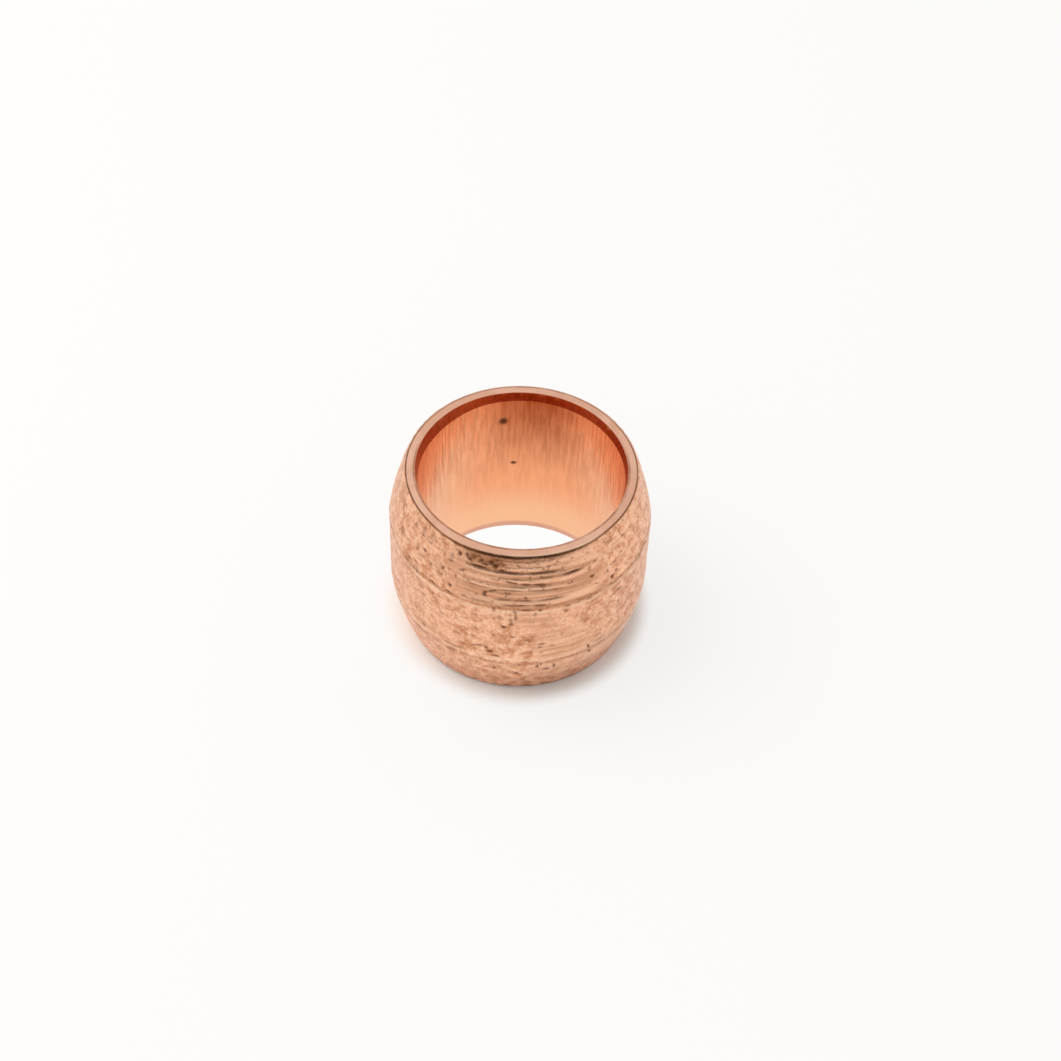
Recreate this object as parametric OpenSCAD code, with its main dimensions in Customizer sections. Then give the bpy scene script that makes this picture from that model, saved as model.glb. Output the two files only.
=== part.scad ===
// Compression ring for an 8 mm tube: one turned copper ring, the same at both ends.
// The bore slides on to the tube, and the two tapers seat in the cones of the fitting.
// It stands on one end face, with Z along the bore and the origin at the centre of that face.

/* [Tube and bore] */
// Outside diameter of the tube that the ring slides on to
tube_d = 8; // [4:0.5:22]
// Gap between the tube and the bore, all round
bore_gap = 0.05; // [0.02:0.01:0.3]
// How much wider each mouth is than the bore, in radius
lead_in = 0.1; // [0.05:0.01:0.4]
// Depth of the flare that leads each mouth into the bore
lead_in_depth = 0.38; // [0.1:0.02:1.2]

/* [End faces] */
// Width of the flat land round each mouth
end_land = 0.42; // [0.2:0.02:1.2]
// Bevel that breaks the outer edge of each land
edge_break = 0.05; // [0.02:0.01:0.15]

/* [Tapers and belly] */
// How far each taper climbs, in radius, from the end face to the belly
taper_rise = 0.63; // [0.2:0.01:1]
// Length of each taper along the axis
taper_length = 2.4; // [1.2:0.05:6]
// How far the middle of a taper stands out beyond a straight cone
taper_bulge = 0.06; // [0.02:0.01:0.12]
// Length of the straight belly between the tapers
belly_length = 3.25; // [0.5:0.05:12]

/* [Hidden] */
$fn = 240;
// How far a cut reaches past the metal that it takes away
overcut = 1;

bore_r = tube_d / 2 + bore_gap;
mouth_r = bore_r + lead_in;
land_r = mouth_r + end_land;
belly_r = land_r + taper_rise;
ring_length = belly_length + 2 * taper_length;

// The taper is an arc through the land's edge and the belly's edge, found from its chord and bulge
taper_chord = norm([taper_rise, taper_length]);
taper_arc_r = (pow(taper_chord / 2, 2) + pow(taper_bulge, 2)) / (2 * taper_bulge);
taper_outward = [taper_length, -taper_rise] / taper_chord;
taper_middle = [land_r + taper_rise / 2, taper_length / 2];
taper_arc_centre = taper_middle - taper_outward * (taper_arc_r - taper_bulge);

// Section of the blank before its ends are turned: radius across, height up
module drilled_blank() {
    polygon([
        [mouth_r, 0],
        [belly_r, 0],
        [belly_r, ring_length],
        [mouth_r, ring_length],
        [bore_r, ring_length - lead_in_depth],
        [bore_r, lead_in_depth]
    ]);
}

// What is turned away outside the taper at the lower end, up to where its arc is widest
module outside_taper() {
    difference() {
        translate([land_r, -overcut])
            square([taper_rise + overcut, taper_arc_centre[1] + overcut]);
        translate(taper_arc_centre)
            circle(r = taper_arc_r);
    }
}

// What is turned away outside the bevel on the lower land, up to where the belly starts
module outside_bevel() {
    bevel_start = land_r - edge_break;
    polygon([
        [bevel_start - overcut, -overcut],
        [bevel_start + taper_length, taper_length],
        [bevel_start + taper_length, -overcut]
    ]);
}

module end_cut() {
    outside_taper();
    outside_bevel();
}

module ferrule() {
    color([0.86, 0.56, 0.42])
        rotate_extrude()
            difference() {
                drilled_blank();
                end_cut();
                translate([0, ring_length])
                    mirror([0, 1])
                        end_cut();
            }
}

ferrule();
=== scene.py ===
# %% [markdown]
# # A copper compression ring, dressed for the camera
#
# The ring slides on to a small tube and is squeezed between a nut and a fitting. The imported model
# holds its true size. This script gives it the surface that turning, tumbling and handling left:
# fine tool lines, small dents, a dark stain, draw streaks in the bore and a burred rim.
# Objects are in metres. Sizes on the ring are named in millimetres, because it is only 10 mm across.

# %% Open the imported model
import math

import bmesh
import bpy
from mathutils import Matrix, Vector


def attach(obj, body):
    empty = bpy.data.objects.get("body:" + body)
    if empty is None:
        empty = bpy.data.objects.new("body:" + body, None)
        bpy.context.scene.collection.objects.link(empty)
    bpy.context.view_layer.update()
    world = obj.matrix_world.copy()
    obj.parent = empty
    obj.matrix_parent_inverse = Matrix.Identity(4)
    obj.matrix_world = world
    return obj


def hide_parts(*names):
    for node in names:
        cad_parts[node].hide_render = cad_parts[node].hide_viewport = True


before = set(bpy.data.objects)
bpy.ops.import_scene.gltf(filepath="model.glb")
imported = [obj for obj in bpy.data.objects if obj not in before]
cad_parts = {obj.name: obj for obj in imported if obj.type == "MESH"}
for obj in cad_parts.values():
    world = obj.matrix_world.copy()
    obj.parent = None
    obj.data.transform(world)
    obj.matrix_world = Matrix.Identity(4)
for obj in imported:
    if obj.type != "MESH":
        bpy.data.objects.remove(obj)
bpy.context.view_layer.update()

MM = 0.001
print("packed nodes:", sorted(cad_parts))

# %% [markdown]
# ## The section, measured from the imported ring
#
# A turned ring is one section swung round an axis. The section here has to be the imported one, so it
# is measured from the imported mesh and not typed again. The points at the top height give the mouth
# and the land, those at the widest radius give the belly, and the narrowest give the bore.

# %% Measure the section
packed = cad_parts["ferrule"]
points = [(math.hypot(v.co.x, v.co.y) / MM, v.co.z / MM) for v in packed.data.vertices]
NEAR = 0.002

ring_length = max(z for r, z in points)
belly_r = max(r for r, z in points)
bore_r = min(r for r, z in points)
end_radii = [r for r, z in points if z > ring_length - NEAR]
mouth_r = min(end_radii)
land_r = max(end_radii)
flare_depth = min(z for r, z in points if r < bore_r + NEAR)
taper_length = min(z for r, z in points if r > belly_r - NEAR)
taper_points = sorted((z, r) for r, z in points if r > land_r + NEAR and z < taper_length)
bevel_depth, bevel_r = taper_points[0]
crown_z, crown_r = taper_points[len(taper_points) // 2]
print(f"length {ring_length:.2f}, belly {belly_r:.2f}, bore {bore_r:.2f}, mouth {mouth_r:.2f} mm")
print(f"land {land_r:.2f}, bevel {bevel_r:.2f} at {bevel_depth:.2f}, taper {taper_length:.2f} mm")

# %% [markdown]
# ## Sums on wires
#
# Both the shape and the copper are worked out by nodes, and much of it is plain arithmetic. A small
# class wraps the output of a node, so that a line such as `1 - dents * 0.3` adds the Math nodes.
# It works the same in a geometry tree and in a material, which lets both read the same marks.


# %% A wire that can be used in sums
class Wire:
    """The output of a node, used in sums as if it were a number."""

    def __init__(self, tree, socket):
        self.tree = tree
        self.socket = socket

    @classmethod
    def node(cls, tree, kind, settings=None, inputs=None, output=0):
        """Adds a node with its settings, fills or links its inputs and returns one output."""
        made = tree.nodes.new(kind)
        for name, value in (settings or {}).items():
            setattr(made, name, value)
        for name, value in (inputs or {}).items():
            if isinstance(value, Wire):
                tree.links.new(value.socket, made.inputs[name])
            else:
                made.inputs[name].default_value = value
        return cls(tree, made.outputs[output])

    def sum(self, operation, first, second):
        return Wire.node(self.tree, "ShaderNodeMath", {"operation": operation}, {0: first, 1: second})

    def __add__(self, other):
        return self.sum("ADD", self, other)

    def __radd__(self, other):
        return self.sum("ADD", other, self)

    def __sub__(self, other):
        return self.sum("SUBTRACT", self, other)

    def __rsub__(self, other):
        return self.sum("SUBTRACT", other, self)

    def __mul__(self, other):
        return self.sum("MULTIPLY", self, other)

    def __rmul__(self, other):
        return self.sum("MULTIPLY", other, self)

    def larger(self, other):
        return self.sum("MAXIMUM", self, other)

    def vector(self, operation, inputs, output=0):
        """A Vector Math node with this wire as its first input."""
        settings = {"operation": operation}
        return Wire.node(self.tree, "ShaderNodeVectorMath", settings, {0: self, **inputs}, output)

    def stretched(self, across, round_and_up):
        """This place, scaled by two numbers: across the ring and up it."""
        return self.vector("MULTIPLY", {1: (across, across, round_and_up)})

    def length(self):
        return self.vector("LENGTH", {}, 1)

    def ramp(self, low, high):
        """0 at low and 1 at high, easing between. With low above high it falls instead."""
        settings = {"interpolation_type": "SMOOTHSTEP"}
        inputs = {"Value": self, "From Min": low, "From Max": high}
        return Wire.node(self.tree, "ShaderNodeMapRange", settings, inputs)

    def noise(self, scale, detail=2.0, roughness=0.5, output=0):
        """Noise at this place: output 0 is a number round 0.5, and output 1 is a vector of three."""
        inputs = {"Vector": self, "Scale": scale, "Detail": detail, "Roughness": roughness}
        return Wire.node(self.tree, "ShaderNodeTexNoise", None, inputs, output)

    def parts(self):
        """The x, y and z of this vector."""
        apart = self.tree.nodes.new("ShaderNodeSeparateXYZ")
        self.tree.links.new(self.socket, apart.inputs[0])
        return [Wire(self.tree, socket) for socket in apart.outputs]


# %% [markdown]
# ## Where a mark lies
#
# The outer wall is easiest to mark on a flat chart, as if it had been cut at the back and rolled
# out: so many millimetres round from the front, and so many up. The cut lies behind the ring, where
# no mark is drawn. The bore gets a chart of its own, cut at the front, because its far wall shows.

# %% Flat charts of the wall and the bore
wall_r = (land_r + belly_r) / 2


def flat_chart(place, radius, front):
    """Millimetres round from the front (1) or from the back (-1), and millimetres up."""
    x, y, z = place.parts()
    turn = x.sum("ARCTAN2", x, y * -front)
    return Wire.node(place.tree, "ShaderNodeCombineXYZ", None, {0: turn * radius, 1: z})


def wobbled(chart, place):
    """The chart pulled about by a few hundredths of a millimetre, so that no mark is drawn ruler-straight."""
    pull = place.noise(3.0, 2.0, 0.6, 1).vector("MULTIPLY_ADD", {1: (0.14, 0.14, 0), 2: (-0.07, -0.07, 0)})
    return chart.vector("ADD", {1: pull})


def on_wall(turn, height):
    """A place on the wall's chart, from degrees round and millimetres up."""
    return Vector((math.radians(turn) * wall_r, height, 0))


# %% [markdown]
# ## Single marks
#
# A pit is an ellipse on the chart and a tear is a long thin one, laid along a line between two
# places. Each fades at its edge. Marks are joined by keeping the deepest at each point, as one
# scratch over another does not get twice as deep.


# %% Pits and tears
EDGE = 1.4
HEART = 0.3


def pit(chart, centre, across, tall):
    """1 in the heart of an ellipse on the chart, and 0 outside it."""
    scale = Vector((2 / across, 2 / tall, 0))
    shift = Vector((-centre.x * scale.x, -centre.y * scale.y, 0))
    local = chart.vector("MULTIPLY_ADD", {1: scale, 2: shift})
    return local.length().ramp(EDGE, HEART)


def tear(chart, start, end, width):
    """1 along a line on the chart, thinning towards both ends."""
    along = end - start
    centre = (start + end) / 2
    angle = -math.atan2(along.y, along.x)
    settings = {"rotation_type": "Z_AXIS"}
    inputs = {"Vector": chart, "Center": centre, "Angle": angle}
    turned = Wire.node(chart.tree, "ShaderNodeVectorRotate", settings, inputs)
    return pit(turned, centre, along.length * 1.1, width)


# %% [markdown]
# The marks that stand out were read one by one, each by its place on the wall: degrees round from the
# front, then millimetres up. Pits give their width, height and depth from 0 to 1, and the shallow
# ones are the soft dents of tumbling. Lines give the places they pass through, then their width and
# depth. Ridges are lines too, raised between the grooves, and painted bright as a highlight.

# %% Pits and dents
PITS = [
    # In the stain, on the upper taper
    (-27.4, 7.66, 0.19, 0.19, 1.0),
    (-16.5, 7.70, 0.20, 0.18, 0.8),
    (-11.9, 7.72, 0.24, 0.15, 1.0),
    (-9.9, 7.62, 0.18, 0.12, 0.8),
    (-6.7, 7.45, 0.26, 0.14, 1.0),
    (-14.2, 7.55, 0.22, 0.10, 0.6),
    # Dents side by side on the left of the taper
    (-54.5, 7.75, 0.35, 0.25, 0.30),
    (-49.5, 7.62, 0.30, 0.45, 0.45),
    (-43.5, 7.62, 0.38, 0.50, 0.35),
    (-41.3, 7.58, 0.14, 0.12, 0.40),
    (-37.0, 7.75, 0.35, 0.25, 0.25),
    (-49.6, 7.41, 0.26, 0.12, 0.75),
    (-44.2, 7.38, 0.24, 0.12, 0.70),
    (-56.5, 7.45, 0.40, 0.14, 0.40),
    (-57.3, 7.22, 0.30, 0.18, 0.40),
    (-54.5, 7.12, 0.30, 0.14, 0.30),
    (-31.3, 7.42, 0.20, 0.35, 0.45),
    (-31.5, 7.21, 0.30, 0.12, 0.70),
    (-35.3, 7.28, 0.14, 0.20, 0.40),
    (-46.2, 6.90, 0.20, 0.16, 0.90),
    (-43.8, 6.86, 0.16, 0.12, 0.50),
    (-51.0, 6.75, 0.20, 0.40, 0.40),
    (-58.5, 6.62, 0.50, 0.14, 0.45),
    (-64.3, 6.55, 0.30, 0.40, 0.45),
    (-47.9, 6.55, 0.16, 0.16, 0.60),
    (-46.0, 6.55, 0.14, 0.11, 0.75),
    (-41.3, 6.55, 0.16, 0.24, 0.55),
    (-39.5, 6.75, 0.45, 0.45, 0.20),
    (-34.6, 6.68, 0.15, 0.18, 0.85),
    (-27.6, 6.62, 0.12, 0.18, 0.80),
    (-31.5, 6.80, 0.14, 0.16, 0.45),
    (-24.0, 6.75, 0.12, 0.40, 0.35),
    (-48.0, 6.33, 0.24, 0.14, 0.35),
    (-36.0, 6.35, 0.35, 0.22, 0.30),
    (-50.3, 6.08, 0.30, 0.10, 0.45),
    (-54.6, 5.92, 0.22, 0.12, 0.80),
    (-49.3, 5.86, 0.40, 0.22, 0.35),
    (-30.0, 6.10, 0.18, 0.18, 0.95),
    (-68.5, 7.35, 0.40, 0.20, 0.20),
    # On the right of the taper
    (4.2, 6.28, 0.12, 0.11, 0.85),
    (14.2, 7.60, 0.16, 0.12, 0.60),
    (11.5, 7.17, 0.20, 0.09, 0.70),
    (34.7, 6.60, 0.20, 0.13, 0.90),
    (34.0, 7.02, 0.14, 0.28, 0.60),
    (36.9, 7.20, 0.18, 0.12, 0.60),
    (33.8, 7.70, 0.15, 0.12, 0.50),
    (37.8, 7.78, 0.12, 0.12, 0.35),
    (44.0, 7.72, 0.25, 0.10, 0.45),
    (46.8, 7.62, 0.40, 0.16, 0.45),
    (49.5, 7.37, 0.40, 0.10, 0.35),
    (54.6, 7.60, 0.14, 0.30, 0.35),
    (56.0, 7.42, 0.18, 0.14, 0.80),
    (62.3, 7.42, 0.18, 0.14, 0.50),
    (72.0, 7.76, 0.20, 0.12, 0.35),
    (52.4, 6.82, 0.20, 0.15, 0.55),
    (51.8, 6.55, 0.10, 0.22, 0.35),
    (45.6, 6.62, 0.28, 0.15, 0.45),
    (42.9, 6.45, 0.16, 0.45, 0.40),
    (45.5, 6.02, 0.20, 0.22, 0.90),
    (48.1, 6.17, 0.16, 0.18, 0.80),
    (40.0, 5.92, 0.70, 0.30, 0.25),
    # Along the upper ridge
    (-55.0, 5.72, 0.30, 0.09, 0.45),
    (-48.5, 5.72, 0.35, 0.09, 0.50),
    (-38.4, 5.74, 0.32, 0.12, 0.65),
    (-30.2, 5.76, 0.24, 0.12, 0.80),
    (-23.0, 5.88, 0.24, 0.16, 0.60),
    (-7.5, 5.76, 0.20, 0.12, 0.50),
    (10.3, 5.62, 0.18, 0.12, 1.00),
    (22.5, 5.62, 0.24, 0.12, 0.75),
    (27.0, 5.60, 0.22, 0.10, 0.60),
    (33.0, 5.57, 0.34, 0.12, 0.60),
    (46.0, 5.68, 0.60, 0.22, 0.40),
    (59.0, 5.52, 0.30, 0.20, 0.35),
    (65.5, 5.55, 0.46, 0.26, 0.50),
    # On the belly
    (-1.7, 4.80, 0.16, 0.24, 0.85),
    (-4.8, 4.60, 0.24, 0.20, 0.90),
    (-2.0, 5.05, 0.12, 0.30, 0.60),
    (-9.3, 5.58, 0.13, 0.28, 0.60),
    (-6.8, 5.15, 0.22, 0.25, 0.50),
    (-9.2, 4.98, 0.15, 0.13, 0.40),
    (-2.3, 5.33, 0.12, 0.16, 0.50),
    (-1.0, 4.02, 0.25, 0.11, 0.75),
    (-4.8, 4.00, 0.10, 0.20, 0.40),
    (-9.0, 4.00, 0.14, 0.20, 0.40),
    (-16.2, 4.20, 0.14, 0.20, 0.35),
    (-17.5, 5.05, 0.28, 0.15, 0.40),
    (-18.5, 3.68, 0.13, 0.20, 0.50),
    (-9.7, 3.45, 0.09, 0.16, 0.45),
    (-25.5, 3.50, 0.35, 0.20, 0.35),
    (-23.3, 3.00, 0.26, 0.16, 0.40),
    (-29.5, 3.88, 0.50, 0.13, 0.30),
    (-33.5, 4.25, 0.25, 0.20, 0.30),
    (-38.7, 5.12, 0.30, 0.13, 0.40),
    (-47.5, 5.32, 0.30, 0.30, 0.40),
    (-45.0, 5.05, 0.30, 0.20, 0.30),
    (-43.7, 4.65, 0.20, 0.15, 0.50),
    (6.3, 3.80, 0.40, 0.20, 0.50),
    (8.0, 4.00, 0.11, 0.30, 0.45),
    (2.5, 3.55, 0.22, 0.16, 0.30),
    (11.6, 3.53, 0.36, 0.13, 0.80),
    (10.8, 3.35, 0.16, 0.11, 0.75),
    (11.8, 3.00, 0.16, 0.16, 0.40),
    (16.4, 3.32, 0.20, 0.13, 0.35),
    (16.2, 4.32, 0.20, 0.11, 0.50),
    (20.5, 3.95, 0.16, 0.30, 0.40),
    (12.7, 4.80, 0.13, 0.11, 0.45),
    (21.8, 5.32, 0.20, 0.20, 0.55),
    (8.3, 5.40, 0.13, 0.30, 0.50),
    (31.5, 4.35, 0.50, 0.20, 0.30),
    (50.3, 4.99, 0.32, 0.14, 0.60),
    (50.0, 4.00, 0.20, 0.60, 0.25),
    (-10.5, 2.96, 0.32, 0.12, 1.00),
    (-7.9, 2.73, 0.30, 0.12, 0.95),
    (-12.1, 3.16, 0.11, 0.22, 0.75),
    (7.5, 3.10, 0.12, 0.30, 0.40),
    (39.0, 2.95, 0.30, 0.12, 0.40),
    # On the lower ridge and taper
    (-44.5, 2.70, 0.22, 0.22, 0.55),
    (-27.8, 2.62, 0.20, 0.14, 0.55),
    (40.0, 2.60, 0.55, 0.16, 0.50),
    (33.9, 2.55, 0.14, 0.22, 0.95),
    (35.3, 2.08, 0.14, 0.26, 0.90),
    (-37.0, 1.60, 0.25, 0.35, 0.30),
    (-29.5, 2.20, 0.25, 0.30, 0.35),
    (-20.5, 1.70, 0.30, 0.20, 0.30),
    (-8.5, 1.80, 0.13, 0.22, 0.70),
    (-6.5, 2.02, 0.16, 0.20, 0.35),
    (2.6, 2.22, 0.10, 0.20, 0.60),
    (1.6, 1.47, 0.15, 0.22, 0.80),
    (10.4, 2.05, 0.12, 0.28, 0.90),
    (11.7, 2.17, 0.10, 0.18, 0.80),
    (14.5, 1.71, 0.26, 0.16, 0.80),
    (18.1, 1.88, 0.11, 0.36, 1.00),
]

# %% Lines and ridges
LINES = [
    # Turning grooves that the tumbling left open, from the top down
    ([(-22.5, 7.41), (-13.0, 7.41)], 0.13, 1.0),
    ([(-11.5, 7.38), (4.0, 7.37), (19.0, 7.36)], 0.10, 0.9),
    ([(-44.0, 7.37), (-34.0, 7.42)], 0.07, 0.4),
    ([(11.0, 7.17), (21.3, 7.12)], 0.06, 0.4),
    ([(20.3, 7.12), (30.6, 7.13)], 0.12, 1.0),
    ([(-7.0, 7.12), (2.0, 7.12)], 0.05, 0.4),
    ([(-12.5, 7.02), (-6.5, 7.00)], 0.07, 0.5),
    ([(-6.0, 7.00), (1.0, 6.91), (7.0, 6.88), (13.3, 6.83)], 0.10, 0.85),
    ([(-8.0, 6.80), (6.0, 6.78)], 0.05, 0.4),
    ([(-23.0, 6.58), (-10.0, 6.57)], 0.08, 0.5),
    ([(-10.0, 6.57), (4.0, 6.60), (21.0, 6.55)], 0.10, 0.7),
    ([(-9.0, 6.13), (-1.0, 6.15), (8.0, 6.12), (22.0, 6.14)], 0.10, 0.8),
    ([(-23.5, 5.88), (-8.0, 5.90)], 0.11, 0.5),
    ([(-7.0, 5.87), (7.0, 5.90), (14.0, 5.86)], 0.12, 0.75),
    ([(1.7, 5.66), (7.5, 5.66)], 0.10, 0.8),
    # Torn metal between the grooves
    ([(-8.1, 6.56), (-12.5, 6.42), (-14.4, 6.26), (-12.7, 6.17)], 0.10, 0.95),
    ([(-5.0, 6.55), (-3.8, 6.38), (-2.3, 6.55)], 0.08, 0.7),
    ([(22.5, 6.72), (24.3, 6.64), (25.4, 6.78)], 0.07, 0.7),
    ([(-27.0, 6.95), (-23.0, 7.12)], 0.09, 0.8),
    ([(14.2, 7.60), (14.5, 7.40)], 0.08, 0.5),
    ([(15.5, 7.10), (15.2, 6.70)], 0.06, 0.5),
    ([(6.2, 7.30), (5.9, 7.00)], 0.06, 0.5),
    # The hook at the edge of the stain
    ([(-24.4, 7.82), (-23.4, 7.66), (-21.2, 7.56)], 0.14, 0.95),
    # The hooked crack under the ridge, and single scratches on the belly
    ([(-0.8, 5.66), (0.3, 5.40), (0.1, 5.02)], 0.10, 0.8),
    ([(-1.2, 5.12), (-1.8, 4.75)], 0.10, 0.5),
    ([(-19.2, 3.10), (-13.1, 3.24)], 0.07, 0.6),
    ([(-34.0, 2.63), (-27.5, 2.60), (-21.7, 2.72)], 0.09, 0.55),
    ([(17.0, 5.05), (20.0, 4.97)], 0.08, 0.4),
]
RIDGES = [
    ([(-22.0, 7.27), (0.0, 7.29), (26.0, 7.25)], 0.14, 0.6),
    ([(-4.0, 7.56), (13.0, 7.56)], 0.10, 0.5),
    ([(19.0, 7.22), (29.0, 7.24)], 0.08, 0.7),
    ([(-12.0, 7.07), (3.0, 7.07)], 0.06, 0.5),
    ([(-23.0, 6.71), (-8.0, 6.72), (13.0, 6.70)], 0.15, 0.8),
    ([(-13.0, 6.44), (-8.5, 6.50)], 0.06, 0.7),
    ([(2.0, 6.46), (18.0, 6.44)], 0.10, 0.5),
    ([(-23.0, 6.03), (0.0, 6.03), (26.0, 6.03)], 0.13, 0.75),
    ([(-14.0, 5.60), (-10.5, 5.62)], 0.20, 0.5),
    ([(-4.5, 5.56), (-1.6, 5.56)], 0.16, 0.6),
    ([(15.8, 6.52), (15.2, 6.60)], 0.12, 0.8),
    ([(-17.0, 3.05), (-12.5, 3.16)], 0.10, 0.6),
]
print(len(PITS), "pits,", len(LINES), "lines and", len(RIDGES), "ridges")


def drawn(chart, wobbly_chart, pits, lines):
    """The depth, from 0 to 1, of listed pits and lines. Only the pits' outlines wobble."""
    depths = []
    for turn, height, across, tall, depth in pits:
        depths.append(pit(wobbly_chart, on_wall(turn, height), across, tall) * depth)
    for places, width, depth in lines:
        for start, end in zip(places, places[1:]):
            depths.append(tear(chart, on_wall(*start), on_wall(*end), width) * depth)
    deepest = depths[0]
    for depth in depths[1:]:
        deepest = deepest.larger(depth)
    return deepest


# %% [markdown]
# ## Marks all over
#
# Tool lines run round the ring, so their noise changes slowly across it and fast up it. Tumbling
# dents have no direction. Draw lines in the bore run straight up it. All three are noise that reads
# the place itself and not the chart, so they join up all the way round.


# %% Tool lines, dents and draw lines
def tool_lines(place):
    """Fine lines round the ring, from 0 to 1."""
    return place.stretched(0.22, 5.5).noise(1.0, 2.0, 0.5).ramp(0.40, 0.60)


def dents(place):
    """Small dents with no direction, from 0 on the high spots to 1 in the hollows."""
    return place.noise(3.0, 1.5, 0.45).ramp(0.36, 0.64)


def draw_lines(place):
    """Fine lines up the bore, from 0 to 1."""
    return place.stretched(7.0, 0.7).noise(1.0, 3.0, 0.55).ramp(0.36, 0.66)


# %% [markdown]
# ## Which skin is where
#
# The wall, the two lands and the bore were cut by different tools and look different. The radius
# alone tells them apart: the bore and its flares lie inside the mouth, and the wall outside the land.


# %% Masks for the three skins
def from_axis(place):
    """The distance from the ring's axis."""
    return place.stretched(1, 0).length()


def on_the_wall(radius):
    return radius.ramp(land_r - 0.01, land_r + 0.05)


def in_the_bore(radius):
    return radius.ramp(mouth_r + 0.015, mouth_r - 0.015)


def beside(value, middle, half_width, fade):
    """1 within half_width of the middle, easing to 0 over the fade."""
    away = (value - middle).sum("ABSOLUTE", value - middle, 0)
    return away.ramp(half_width + fade, half_width)


# %% [markdown]
# ## The swept ring
#
# On a lathe the bar turns and the tool traces a section. Geometry Nodes can do the same: the section
# is one closed line of straight parts and two arcs, and Curve to Mesh sweeps it round the circle of
# the bore. Each part is resampled to its own step, fine where marks will be pressed in and coarse
# in the bore. The sizes are inputs of the tree, so that it can turn a ring of another size.

# %% Inputs of the tree
ring_tree = bpy.data.node_groups.new("turned ring", "GeometryNodeTree")
RING_SIZES = {
    "Ring length": ring_length,
    "Bore radius": bore_r,
    "Mouth radius": mouth_r,
    "Flare depth": flare_depth,
    "Land radius": land_r,
    "Bevel radius": bevel_r,
    "Bevel depth": bevel_depth,
    "Crown radius": crown_r,
    "Crown height": crown_z,
    "Belly radius": belly_r,
    "Taper length": taper_length,
    "Dent depth": 0.022,
    "Tool line depth": 0.012,
    "Mark depth": 0.022,
    "Draw line depth": 0.004,
    "Burr reach": 0.035,
}
STEPS_ROUND = 480
sockets = {}
for name in RING_SIZES:
    sockets[name] = ring_tree.interface.new_socket(name, in_out="INPUT", socket_type="NodeSocketFloat")
sockets["Steps round"] = ring_tree.interface.new_socket(
    "Steps round", in_out="INPUT", socket_type="NodeSocketInt"
)
ring_tree.interface.new_socket("Geometry", in_out="OUTPUT", socket_type="NodeSocketGeometry")
given = ring_tree.nodes.new("NodeGroupInput")
size = {name: Wire(ring_tree, given.outputs[name]) for name in sockets}

# %% [markdown]
# The two ends are mirror images, so a point of the section is given by its radius and its depth
# below an end face. The drawing lies flat, with the bore at zero, because the sweep carries it
# round the bore's circle and turns its second axis downwards.


# %% Parts of the section
WALL_STEP = 0.05
LAND_STEP = 0.08
FLARE_STEP = 0.12
BORE_STEP = 0.45


def corner(radius, depth, top):
    """A point of the section, by its radius and its depth below the top or bottom end."""
    height = size["Ring length"] - depth if top else depth
    inputs = {0: radius - size["Bore radius"], 1: 0 - height}
    return Wire.node(ring_tree, "ShaderNodeCombineXYZ", None, inputs)


def resampled(curve, step):
    inputs = {"Curve": curve, "Length": step}
    return Wire.node(ring_tree, "GeometryNodeResampleCurve", {"mode": "LENGTH"}, inputs)


def straight(start, end, step):
    line = Wire.node(ring_tree, "GeometryNodeCurvePrimitiveLine", None, {"Start": start, "End": end})
    return resampled(line, step)


def bowed(start, middle, end, step):
    inputs = {"Start": start, "Middle": middle, "End": end, "Resolution": 64}
    return resampled(Wire.node(ring_tree, "GeometryNodeCurveArc", {"mode": "POINTS"}, inputs), step)


parts = []
for top in (True, False):
    bore_end = corner(size["Bore radius"], size["Flare depth"], top)
    mouth = corner(size["Mouth radius"], 0, top)
    land_edge = corner(size["Land radius"], 0, top)
    bevel_edge = corner(size["Bevel radius"], size["Bevel depth"], top)
    crown = corner(size["Crown radius"], size["Crown height"], top)
    belly_edge = corner(size["Belly radius"], size["Taper length"], top)
    parts.append(straight(bore_end, mouth, FLARE_STEP))
    parts.append(straight(mouth, land_edge, LAND_STEP))
    parts.append(straight(land_edge, bevel_edge, WALL_STEP))
    parts.append(bowed(bevel_edge, crown, belly_edge, WALL_STEP))
    if top:
        top_bore_end, top_belly_edge = bore_end, belly_edge
parts.append(straight(top_bore_end, bore_end, BORE_STEP))
parts.append(straight(top_belly_edge, belly_edge, WALL_STEP))
print(len(parts), "parts in the section")

# %% [markdown]
# The loose parts become one closed line by turning them into mesh edges, merging the ends that
# meet, and turning the edges back into a curve. The sweep of that curve is the smooth ring.

# %% Sweep the section
joined = ring_tree.nodes.new("GeometryNodeJoinGeometry")
for part in parts:
    ring_tree.links.new(part.socket, joined.inputs[0])
edges = Wire.node(ring_tree, "GeometryNodeCurveToMesh", None, {"Curve": Wire(ring_tree, joined.outputs[0])})
merged = Wire.node(ring_tree, "GeometryNodeMergeByDistance", None, {"Geometry": edges, "Distance": NEAR})
section = Wire.node(ring_tree, "GeometryNodeMeshToCurve", None, {"Mesh": merged})
circle_sizes = {"Resolution": size["Steps round"], "Radius": size["Bore radius"]}
bore_circle = Wire.node(ring_tree, "GeometryNodeCurvePrimitiveCircle", None, circle_sizes)
swept = Wire.node(
    ring_tree, "GeometryNodeCurveToMesh", None, {"Curve": bore_circle, "Profile Curve": section}
)

# %% [markdown]
# The tool that flared the top mouth leant a little to the left, where the flare reaches deeper.
# There the corner between flare and bore moves down, and the bore below it gives way.

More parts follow.
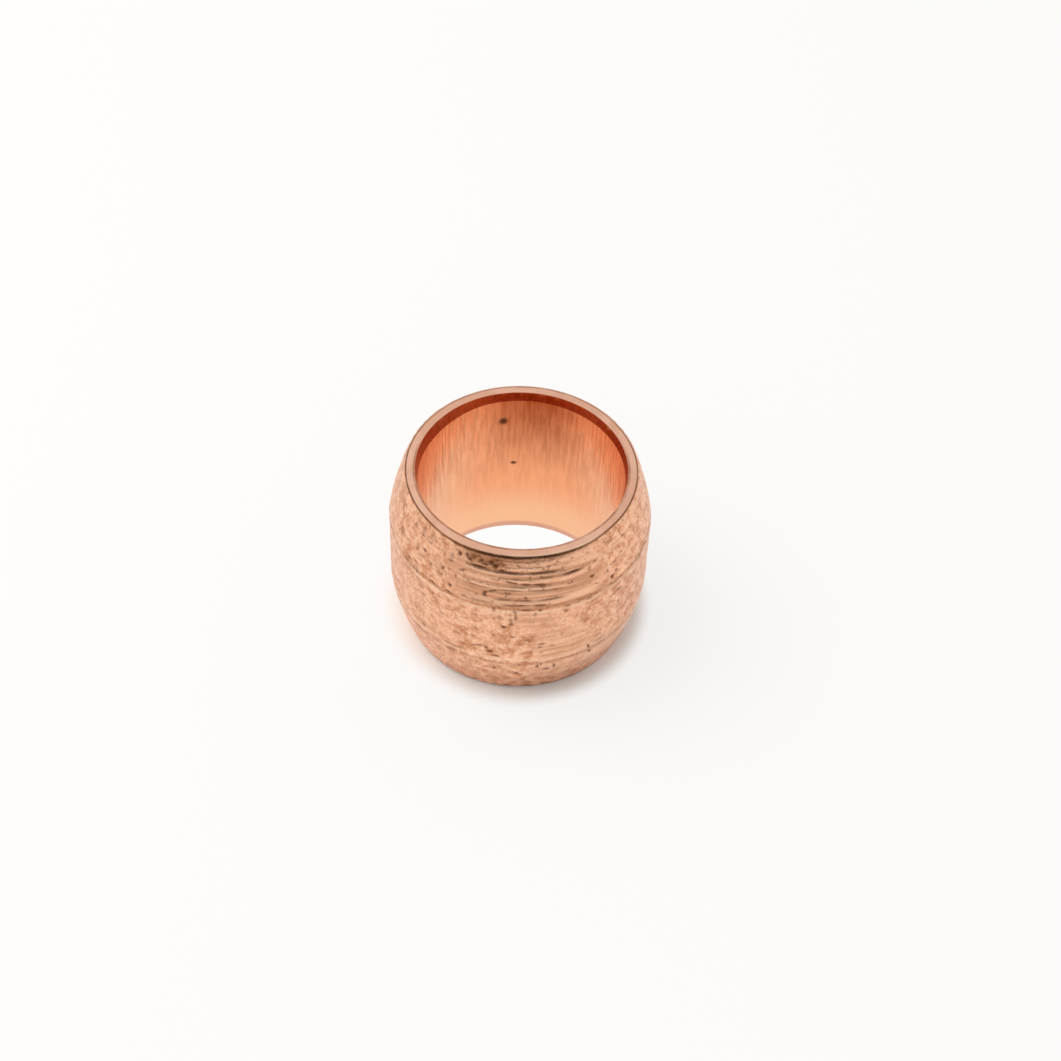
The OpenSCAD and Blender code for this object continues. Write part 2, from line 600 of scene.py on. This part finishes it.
# %% Lean the top flare
FLARE_LEAN = 0.2
FLARE_FADE = 1.8
first_point = Wire.node(ring_tree, "GeometryNodeInputPosition")
below_top = size["Ring length"] - first_point.parts()[2]
round_left = flat_chart(first_point, bore_r, -1).parts()[0]
leaning = round_left.ramp(-1.2, -4.5) * round_left.ramp(-11.5, -8.0) * in_the_bore(from_axis(first_point))
sunk = below_top.ramp(0, flare_depth) * below_top.ramp(FLARE_FADE, flare_depth) * leaning * FLARE_LEAN
down = Wire.node(ring_tree, "ShaderNodeCombineXYZ", None, {2: 0 - sunk})
leant = Wire.node(ring_tree, "GeometryNodeSetPosition", None, {"Geometry": swept, "Offset": down})

# %% [markdown]
# ## Pressing the marks in
#
# Every point of the swept ring is pushed in along its normal by the depth of the marks there. The
# dents cover the wall, the tool lines show in patches that the tumbling missed, and the widest
# patch faces the front on the upper taper. The single marks go deepest, and ridges stand out. Each
# depth is stored on the mesh before the push, because the copper is coloured by the same depths.


# %% Where tool lines survived
def line_patch(place, turn, height):
    """1 where the lathe's lines still show: in front on the upper taper, and in odd patches."""
    front = beside(turn, 0.5, 2.2, 1.2) * height.ramp(5.45, 5.8)
    odd = place.noise(0.28, 1.0, 0.5).ramp(0.56, 0.66) * 0.7
    return front.larger(odd)


# %% Push the surface in
point = Wire.node(ring_tree, "GeometryNodeInputPosition")
normal = Wire.node(ring_tree, "GeometryNodeInputNormal")
point_x, point_y, point_z = point.parts()
point_r = from_axis(point)
point_chart = flat_chart(point, wall_r, 1)
point_turn, point_height, unused = point_chart.parts()
patch = line_patch(point, point_turn, point_height)
uneven = point.noise(5.0, 1.0, 0.5).ramp(0.1, 0.4)
relief = {
    "patch": patch,
    "dent": dents(point) * (1 - patch * 0.6),
    "line": tool_lines(point) * patch,
    "mark": drawn(point_chart, wobbled(point_chart, point), PITS, LINES) * uneven,
    "ridge": drawn(point_chart, point_chart, [], RIDGES) * uneven,
}
depth = relief["dent"] * size["Dent depth"] + relief["line"] * size["Tool line depth"]
depth = depth + (relief["mark"] - relief["ridge"] * 0.4) * size["Mark depth"]
depth = depth * on_the_wall(point_r) + draw_lines(point) * in_the_bore(point_r) * size["Draw line depth"]
push = normal.vector("SCALE", {"Scale": 0 - depth})
stored = leant
for name, amount in relief.items():
    inputs = {"Geometry": stored, "Name": name, "Value": amount}
    stored = Wire.node(ring_tree, "GeometryNodeStoreNamedAttribute", {"data_type": "FLOAT"}, inputs)
marked = Wire.node(ring_tree, "GeometryNodeSetPosition", None, {"Geometry": stored, "Offset": push})

# %% [markdown]
# The tool left a ragged inner edge at the back of the top mouth. Near that corner the points move
# towards the axis by an uneven amount, which reads as a small burr along the edge.

# %% Rag the mouth edges
below_face = point_z.sum("MINIMUM", point_z, size["Ring length"] - point_z)
mouth_gap = Wire.node(
    ring_tree, "ShaderNodeCombineXYZ", None, {0: point_r - size["Mouth radius"], 1: below_face}
).length()
at_back = point_y.ramp(0.0, 3.0) * point_z.ramp(flare_depth, ring_length - flare_depth)
rag = point.noise(2.2, 3.0, 0.65).ramp(0.48, 0.7) * mouth_gap.ramp(0.11, 0.0) * at_back * size["Burr reach"]
inward = point.stretched(1, 0).vector("NORMALIZE", {})
pull = inward.vector("SCALE", {"Scale": 0 - rag})
ragged = Wire.node(ring_tree, "GeometryNodeSetPosition", None, {"Geometry": marked, "Offset": pull})

# %% [markdown]
# ## The copper
#
# Soft copper is a metal whose colour is all in its reflection, so Metallic is 1 and Base Color is
# the colour of the shine. Bare copper is a pale salmon. Where fingers and air have worked on it the
# film of oxide is browner, and dirt sits almost black in the pits.

# %% Colours of the copper
# Some colours here paint light: the palest paints highlights, the brown film and stain colours also paint shade
# lines and a darker front, and the bore's pale, deep brown, mauve and shade colours paint its light and shade.
HIGHLIGHT = (1.0, 0.72, 0.50, 1)
BRIGHT = (0.98, 0.55, 0.35, 1)
WARM = (0.64, 0.27, 0.13, 1)
TARNISH_AND_SHADE = (0.38, 0.135, 0.05, 1)
STAIN_AND_SHADE = (0.20, 0.07, 0.022, 1)
DIRT = (0.10, 0.026, 0.009, 1)
FACED = (0.96, 0.56, 0.40, 1)
PALE_LIT = (1.0, 0.54, 0.31, 1)
DRAWN = (1.0, 0.41, 0.20, 1)
DULL_SHADE = (0.50, 0.115, 0.03, 1)
SHADE = (0.34, 0.06, 0.015, 1)
MAUVE_SHADE = (0.62, 0.27, 0.18, 1)

copper = bpy.data.materials.new("worn_copper")
copper.use_nodes = True
copper_tree = copper.node_tree
copper_tree.nodes.clear()


def blend(factor, first, second):
    """One colour at factor 0 and the other at 1."""
    tree = factor.tree
    mix = tree.nodes.new("ShaderNodeMix")
    mix.data_type = "RGBA"
    tree.links.new(factor.socket, mix.inputs[0])
    for slot, colour in ((6, first), (7, second)):
        if isinstance(colour, Wire):
            tree.links.new(colour.socket, mix.inputs[slot])
        else:
            mix.inputs[slot].default_value = colour
    return Wire(tree, mix.outputs[2])


# %% Read the place on the ring
texture = Wire.node(copper_tree, "ShaderNodeTexCoord", None, None, "Object")
place = texture.vector("SCALE", {"Scale": 1 / MM})
radius = from_axis(place)
wall = on_the_wall(radius)
bore = in_the_bore(radius)
chart = flat_chart(place, wall_r, 1)
turn, height, unused = chart.parts()
stored_depths = []
for name in relief:
    stored_depths.append(Wire.node(copper_tree, "ShaderNodeAttribute", {"attribute_name": name}, None, "Fac"))
patch, dent, line, mark, ridge = stored_depths
fine = place.noise(8.0, 2.0, 0.6)
streak = draw_lines(place)

# %% [markdown]
# The wall is paler on its high spots and browner in its hollows, partly uneven oxide and partly
# painted shade and highlight standing in for the dents' relief; pale flecks are painted highlights.
# In front, on the upper taper, the wall is painted a little darker as shade, and the film sits in the
# tool lines; one patch near the rim is stained. A brown line of painted shade follows each edge
# between taper and belly, and the belly just beside it is painted paler as a highlight.

# %% Colour of the wall
calm = 1 - patch * 0.7
slow = place.noise(0.6, 1.0, 0.5).ramp(0.3, 0.7)
# Paler high spots and browner hollows: partly uneven oxide, partly painted shade and highlight of the dents.
mottle_and_dent_shade = dent * (0.45 + slow * 0.4) + fine.ramp(0.42, 0.62) * 0.3
wall_colour = blend(mottle_and_dent_shade * calm, BRIGHT, WARM)
# Pale flecks here are painted highlights.
wall_colour = blend(fine.ramp(0.46, 0.34) * calm * 0.4, wall_colour, HIGHLIGHT)
# In front, on the upper taper, the wall is painted a little darker: a painted shade.
front_shade = beside(turn, 0.4, 0.6, 3.2) * height.ramp(5.0, 6.4)
wall_colour = blend(front_shade * 0.05 + line * 0.55, wall_colour, TARNISH_AND_SHADE)
# The raised ridges are painted bright: a painted highlight.
wall_colour = blend(ridge * 0.45, wall_colour, HIGHLIGHT)
grit = place.noise(5.0, 2.0, 0.5).ramp(0.60, 0.74) * (0.25 + height.ramp(5.2, 6.2) * 0.35)
wall_colour = blend(grit, wall_colour, STAIN_AND_SHADE)

# %% Edges between taper and belly
from_face = height.sum("MINIMUM", height, ring_length - height)
patchy = place.noise(1.3, 2.0, 0.5)
# Along each edge between taper and belly: a brown line of painted shade on the taper side, and a band of painted
# highlight on the belly beside it.
broken_up = 0.4 + patchy.ramp(0.35, 0.6) * 0.6
ridge_highlight_band = beside(from_face, taper_length + 0.16, 0.03, 0.14) * broken_up
wall_colour = blend(ridge_highlight_band * 0.35, wall_colour, HIGHLIGHT)
ridge_shade_line = beside(from_face, taper_length - 0.07, 0.05, 0.10) * broken_up
wall_colour = blend(ridge_shade_line * (0.35 + fine.ramp(0.4, 0.6) * 0.3), wall_colour, TARNISH_AND_SHADE)

# %% Stain and marks
frayed = wobbled(chart, place.stretched(0.6, 0.6))
stain_turn, stain_height, unused = frayed.parts()
stained = beside(stain_turn, -1.2, 0.5, 0.5) * beside(stain_height, 7.66, 0.14, 0.16)
blotches = place.noise(3.4, 3.0, 0.6).ramp(0.42, 0.60)
wall_colour = blend(stained * 0.45, wall_colour, TARNISH_AND_SHADE)
wall_colour = blend(stained * blotches * 0.85, wall_colour, STAIN_AND_SHADE)
wall_colour = blend(mark * 0.9, wall_colour, DIRT)

# %% [markdown]
# The bore was drawn, and its fine lines run up it. On the far side it is painted paler at the lower
# end, a painted highlight, and darker towards the top, a painted shade. The upper flare is painted
# dark as shade, and the lower one a mauve that paints the reflection of the shaded sheet below it.

# %% Colour of the bore
far_side = flat_chart(place, bore_r, -1)
bore_turn, bore_height, unused = far_side.parts()
facing = beside(bore_turn, 0.3, 1.6, 3.2)
far_top_shade = beside(bore_turn, 0.5, 0.6, 2.2) * bore_height.ramp(3.2, 8.0)
# On the far wall the lower end is painted paler: a painted highlight.
bore_colour = blend(bore_height.ramp(0.8, 3.4) * facing, PALE_LIT, DRAWN)
bore_colour = blend(streak * bore_height.ramp(1.0, 6.0) * 0.6, bore_colour, WARM)
# Towards the top of the far wall the colour darkens: a painted shade.
bore_colour = blend(far_top_shade * (0.7 + streak * 0.3), bore_colour, DULL_SHADE)
lean = bore_turn.ramp(-1.2, -4.5) * FLARE_LEAN
upper_flare = (bore_height + lean).ramp(ring_length - flare_depth - 0.02, ring_length - flare_depth + 0.02)
# The upper flare is painted dark: a painted shade.
bore_colour = blend(upper_flare * (0.85 - facing * 0.3), bore_colour, SHADE)
# The lower flare is painted mauve: a painted reflection of the shaded sheet below it.
bore_colour = blend(height.ramp(flare_depth + 0.1, flare_depth - 0.1) * 0.7, bore_colour, MAUVE_SHADE)
SPECKS = [(-0.85, 6.55, 0.42, 0.42), (-0.39, 4.05, 0.28, 0.20)]
for speck_turn, speck_height, across, tall in SPECKS:
    speck = pit(far_side, Vector((speck_turn, speck_height, 0)), across, tall)
    bore_colour = blend(speck * 0.95, bore_colour, DIRT)

# %% [markdown]
# The lands were faced flat. A dark line of painted shade runs along their outer edge: on the bevel in
# front, and on the land itself at the back. A thinner line of painted shade follows the inner edge in
# front. On the right of the front a bright line paints the glint off the burred edge, a painted highlight.

# %% Colour of the lands and their edges
faced = place.noise(1.2, 2.0, 0.5).ramp(0.35, 0.65)
land_colour = blend(faced * 0.25, FACED, WARM)
away_from_front = turn.sum("ABSOLUTE", turn, 0)
# A thinner line of painted shade along the inner edge in front.
inner_edge_shade = beside(radius, mouth_r + 0.045, 0.015, 0.05) * away_from_front.ramp(10.0, 7.5)
inner_edge_shade = inner_edge_shade * (0.35 + patchy.ramp(0.35, 0.55) * 0.4)
# On the right of the front, a bright painted highlight: the glint off the burred edge.
burr_glint = beside(turn, 1.5, 1.7, 0.5) * beside(radius, land_r - 0.015, 0.015, 0.02)
# A dark line of painted shade along the outer edge of the lands.
edge_r = land_r - 0.01 + away_from_front.ramp(4.5, 2.5) * 0.055 - away_from_front.ramp(8.0, 11.0) * 0.045
outer_edge_shade = (radius - edge_r).sum("ABSOLUTE", radius - edge_r, 0).ramp(0.05, 0.012)
outer_edge_shade = outer_edge_shade * (0.75 + patchy.ramp(0.35, 0.55) * 0.2) * (1 - away_from_front.ramp(8.0, 11.0) * 0.45)

# %% Join the skins
skin = blend(wall, land_colour, wall_colour)
skin = blend(bore, skin, bore_colour)
skin = blend(inner_edge_shade, skin, TARNISH_AND_SHADE)
skin = blend(burr_glint * 0.8, skin, HIGHLIGHT)
skin = blend(outer_edge_shade, skin, STAIN_AND_SHADE)

# %% Put the copper together
roughness = 0.30 + dent * 0.06 + fine * 0.08 + mark * 0.3 - bore * 0.06
bump_height = 0 - (wall * fine * 1.6 + bore * streak * 0.5 + fine * 0.1)
bump_inputs = {"Strength": 1.0, "Distance": 0.00001, "Height": bump_height}
bump = Wire.node(copper_tree, "ShaderNodeBump", None, bump_inputs)
principled = copper_tree.nodes.new("ShaderNodeBsdfPrincipled")
for name, wire in {
    "Base Color": skin,
    "Roughness": roughness,
    "Normal": bump,
}.items():
    copper_tree.links.new(wire.socket, principled.inputs[name])
principled.inputs["Metallic"].default_value = 1.0
surface = copper_tree.nodes.new("ShaderNodeOutputMaterial")
copper_tree.links.new(principled.outputs[0], surface.inputs["Surface"])
print("copper nodes:", len(copper_tree.nodes), "ring nodes so far:", len(ring_tree.nodes))

# %% [markdown]
# ## Finish the tree and make the mesh
#
# The ring was drawn in millimetres, so it is scaled to metres last. The corners between flare, bore
# and land stay crisp, because a cutter left them. The tumbled wall is smooth all over. The tree ends
# in Realize Instances and Set Material, and its result is copied to a plain mesh.

# %% End the tree
CRISP_ANGLE = math.radians(8)
bend = Wire.node(ring_tree, "GeometryNodeInputMeshEdgeAngle")
turned = point_r.sum("LESS_THAN", point_r, size["Land radius"] + NEAR)
crisp = bend.sum("GREATER_THAN", bend, CRISP_ANGLE) * turned
smooth = Wire.node(
    ring_tree, "GeometryNodeSetShadeSmooth", {"domain": "FACE"}, {"Geometry": ragged, "Shade Smooth": True}
)
edged = Wire.node(
    ring_tree,
    "GeometryNodeSetShadeSmooth",
    {"domain": "EDGE"},
    {"Geometry": smooth, "Selection": crisp, "Shade Smooth": False},
)
scaled = Wire.node(ring_tree, "GeometryNodeTransform", None, {"Geometry": edged, "Scale": (MM, MM, MM)})
real = Wire.node(ring_tree, "GeometryNodeRealizeInstances", None, {"Geometry": scaled})
coated = Wire.node(ring_tree, "GeometryNodeSetMaterial", None, {"Geometry": real, "Material": copper})
ring_out = ring_tree.nodes.new("NodeGroupOutput")
ring_tree.links.new(coated.socket, ring_out.inputs[0])

# %% Make the ring
scene = bpy.context.scene
carrier = bpy.data.objects.new("carrier", bpy.data.meshes.new("carrier"))
scene.collection.objects.link(carrier)
turning = carrier.modifiers.new("turning", "NODES")
turning.node_group = ring_tree
for name, value in RING_SIZES.items():
    turning[sockets[name].identifier] = value
turning[sockets["Steps round"].identifier] = STEPS_ROUND
bpy.context.view_layer.update()
evaluated = carrier.evaluated_get(bpy.context.evaluated_depsgraph_get())
ring_mesh = bpy.data.meshes.new_from_object(evaluated)
carrier.modifiers.remove(turning)
bpy.data.objects.remove(carrier)
ring = bpy.data.objects.new("copper_ring", ring_mesh)
scene.collection.objects.link(ring)

# %% Check the ring
check = bmesh.new()
check.from_mesh(ring_mesh)
open_edges = sum(1 for edge in check.edges if len(edge.link_faces) != 2)
volume = check.calc_volume(signed=True) / MM**3
check.free()
print(f"{len(ring_mesh.polygons)} faces, {open_edges} open edges, volume {volume:.1f} mm3")

# %% Tie the ring to the frame
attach(ring, "root")
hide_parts("ferrule")

# %% [markdown]
# ## The sheet it stands on
#
# The ring stands on a white sheet. In the photograph the sheet is exposed to white nearly
# everywhere, and only the narrow shadow close to the ring is darker. So the sheet is matt paper with
# a white glow mixed in, for rays from the camera and for rays that the metal or glass sends on. The
# glow is weak close under the ring, where the shadow lies, and strong in the bore and further out.

# %% Floor
FLOOR_REACH = 1.0
SHADOW_END = 5.7
paper = bpy.data.materials.new("white_paper")
paper.use_nodes = True
paper_tree = paper.node_tree
paper_tree.nodes.clear()
matt = Wire.node(paper_tree, "ShaderNodeBsdfDiffuse", None, {"Color": (0.93, 0.905, 0.87, 1)})
glow = Wire.node(paper_tree, "ShaderNodeEmission", None, {"Color": (0.985, 0.98, 0.975, 1), "Strength": 1.0})
sheet = Wire.node(paper_tree, "ShaderNodeTexCoord", None, None, "Object").vector("SCALE", {"Scale": 1 / MM})
from_ring = from_axis(sheet)
# In the bore the glow fades towards the front: a painted shadow of the ring's front wall.
inside = from_ring.ramp(land_r, mouth_r) * (0.55 + sheet.parts()[1].ramp(-3.5, 0.5) * 0.45)
lift = inside + from_ring.ramp(land_r + 0.25, SHADOW_END) * 0.75
rays = paper_tree.nodes.new("ShaderNodeLightPath")
seen = Wire(paper_tree, rays.outputs["Is Camera Ray"])
for name in ("Is Glossy Ray", "Is Transmission Ray"):
    seen = seen.larger(Wire(paper_tree, rays.outputs[name]))
lit = Wire.node(paper_tree, "ShaderNodeMixShader", None, {0: seen * lift, 1: matt, 2: glow})
paper_out = paper_tree.nodes.new("ShaderNodeOutputMaterial")
paper_tree.links.new(lit.socket, paper_out.inputs["Surface"])


def flat_sheet(name, spots, material):
    """One flat face through four corners, for the stage."""
    mesh = bpy.data.meshes.new(name)
    mesh.from_pydata([Vector(spot) for spot in spots], [], [(0, 1, 2, 3)])
    mesh.materials.append(material)
    sheet = bpy.data.objects.new(name, mesh)
    scene.collection.objects.link(sheet)
    return sheet


reach = FLOOR_REACH
floor = flat_sheet("floor", [(-reach, -reach, 0), (reach, -reach, 0), (reach, reach, 0), (-reach, reach, 0)], paper)

# %% [markdown]
# ## Light
#
# Metal shows what stands round it, so the room matters as much as the lamp. The room is a plain
# dome, white near the horizon and greyer overhead. A wide soft lamp hangs above, a little to the
# left and back, which lays the soft shadow to the right and in front. A dark card stands behind the
# camera. Only the metal sees it, and it gives the dents and tool lines their darker sides.

# %% Dome
world = bpy.data.worlds.new("studio")
world.use_nodes = True
dome = world.node_tree
dome.nodes.clear()
sideways, backwards, above = Wire.node(dome, "ShaderNodeTexCoord", None, None, "Generated").parts()
shade = blend(above.ramp(0.15, 0.75), (0.97, 0.97, 0.97, 1), (0.65, 0.65, 0.65, 1))
sky = Wire.node(dome, "ShaderNodeBackground", None, {"Color": shade, "Strength": 1.02 - sideways * 0.07})
dome_out = dome.nodes.new("ShaderNodeOutputWorld")
dome.links.new(sky.socket, dome_out.inputs["Surface"])
scene.world = world


# %% Lamp
def soft_lamp(name, spot, width, watts):
    """A square lamp that faces the middle of the ring."""
    lamp = bpy.data.lights.new(name, "AREA")
    lamp.shape = "SQUARE"
    lamp.size = width
    lamp.energy = watts
    body = bpy.data.objects.new(name, lamp)
    body.location = spot
    aim = Vector((0, 0, ring_length * MM / 2)) - Vector(spot)
    body.rotation_euler = aim.to_track_quat("-Z", "Y").to_euler()
    body.visible_camera = False
    scene.collection.objects.link(body)


soft_lamp("overhead", (-0.085, 0.015, 0.14), 0.12, 0.12)

# %% Dark card
dark = bpy.data.materials.new("dark_card")
dark.use_nodes = True
dark_tree = dark.node_tree
dark_tree.nodes.clear()
felt = Wire.node(dark_tree, "ShaderNodeBsdfDiffuse", None, {"Color": (0.12, 0.12, 0.12, 1)})
dark_out = dark_tree.nodes.new("ShaderNodeOutputMaterial")
dark_tree.links.new(felt.socket, dark_out.inputs["Surface"])
card = flat_sheet("card", [(-0.15, -0.16, 0), (0.15, -0.16, 0), (0.15, -0.16, 0.14), (-0.15, -0.16, 0.14)], dark)
card.visible_camera = False
card.visible_diffuse = False
card.visible_shadow = False

# %% Camera
ELEVATION = math.radians(48.702)
ROLL = math.radians(-2.375)
DISTANCE = 85 * MM
SIDEWAYS = 0.5601 * MM
UPWARDS = 2.8791 * MM
FIELD_PIXELS = 2033.05
PHOTO_PIXELS = 1061

right = Vector((1, 0, 0))
up = Vector((0, math.sin(ELEVATION), math.cos(ELEVATION)))
back = Vector((0, -math.cos(ELEVATION), math.sin(ELEVATION)))
rolled_right = right * math.cos(ROLL) - up * math.sin(ROLL)
rolled_up = right * math.sin(ROLL) + up * math.cos(ROLL)
lens = bpy.data.cameras.new("camera")
lens.sensor_width = 36
lens.lens = lens.sensor_width * FIELD_PIXELS / PHOTO_PIXELS
lens.clip_start = 0.001
lens.clip_end = 10
camera = bpy.data.objects.new("camera", lens)
turned = Matrix((rolled_right, rolled_up, back)).transposed().to_4x4()
eye = rolled_right * SIDEWAYS + rolled_up * UPWARDS + back * DISTANCE
camera.matrix_world = Matrix.Translation(eye) @ turned
scene.collection.objects.link(camera)
scene.camera = camera
scene.view_settings.view_transform = "Standard"
print(f"lens {lens.lens:.1f} mm, camera {eye.length / MM:.0f} mm from the ring")

bpy.context.view_layer.update()
